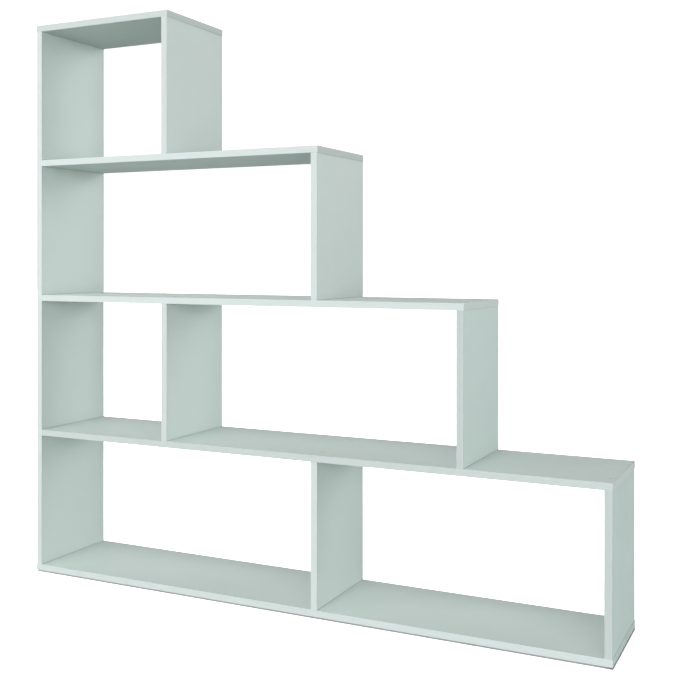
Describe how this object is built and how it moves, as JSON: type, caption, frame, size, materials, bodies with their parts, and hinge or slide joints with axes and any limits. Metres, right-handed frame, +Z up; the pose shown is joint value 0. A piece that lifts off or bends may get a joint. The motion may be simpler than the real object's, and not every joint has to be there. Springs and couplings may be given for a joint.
{
  "type": "bookcase",
  "caption": "Open-backed bookcase of pale melamine-faced board whose tiers of equal height get narrower upwards, stepping down to the right.",
  "frame": {"origin": "on the floor, under the middle of the whole bookcase", "axes": "+X to the right, towards the low end of the steps; +Y to the back; +Z up; the front faces -Y"},
  "size_m": [1.49, 0.27, 1.4506],
  "materials": {
    "melamine_board": "particle board with a satin, pale grey-green melamine face",
    "edging": "satin edging strip, slightly lighter than the faces",
    "cover_plastic": "thin satin cover in the colour of the board",
    "screw_steel": "zinc-plated steel",
    "dowel_wood": "plain beech",
    "glide_plastic": "plain off-white plastic"
  },
  "bodies": {
    "root": {"bottom_panel": "melamine_board", "bottom_panel_back_edging": "edging", "bottom_panel_front_edging": "edging", "bottom_panel_left_edging": "edging", "bottom_panel_right_edging": "edging", "divider_1": "melamine_board", "divider_1_back_edging": "edging", "divider_1_front_edging": "edging", "divider_2": "melamine_board", "divider_2_back_edging": "edging", "divider_2_front_edging": "edging", "dowels": "dowel_wood", "end_upright_1": "melamine_board", "end_upright_1_back_edging": "edging", "end_upright_1_front_edging": "edging", "end_upright_2": "melamine_board", "end_upright_2_back_edging": "edging", "end_upright_2_front_edging": "edging", "end_upright_3": "melamine_board", "end_upright_3_back_edging": "edging", "end_upright_3_front_edging": "edging", "end_upright_4": "melamine_board", "end_upright_4_back_edging": "edging", "end_upright_4_front_edging": "edging", "floor_glides": "glide_plastic", "glide_nails": "screw_steel", "left_side": "melamine_board", "left_side_back_edging": "edging", "left_side_front_edging": "edging", "panel_screws": "screw_steel", "screw_covers": "cover_plastic", "shelf_1": "melamine_board", "shelf_1_back_edging": "edging", "shelf_1_front_edging": "edging", "shelf_1_right_edging": "edging", "shelf_2": "melamine_board", "shelf_2_back_edging": "edging", "shelf_2_front_edging": "edging", "shelf_2_right_edging": "edging", "shelf_3": "melamine_board", "shelf_3_back_edging": "edging", "shelf_3_front_edging": "edging", "shelf_3_right_edging": "edging", "top_panel": "melamine_board", "top_panel_back_edging": "edging", "top_panel_front_edging": "edging", "top_panel_left_edging": "edging", "top_panel_right_edging": "edging"}
  },
  "joints": []
}
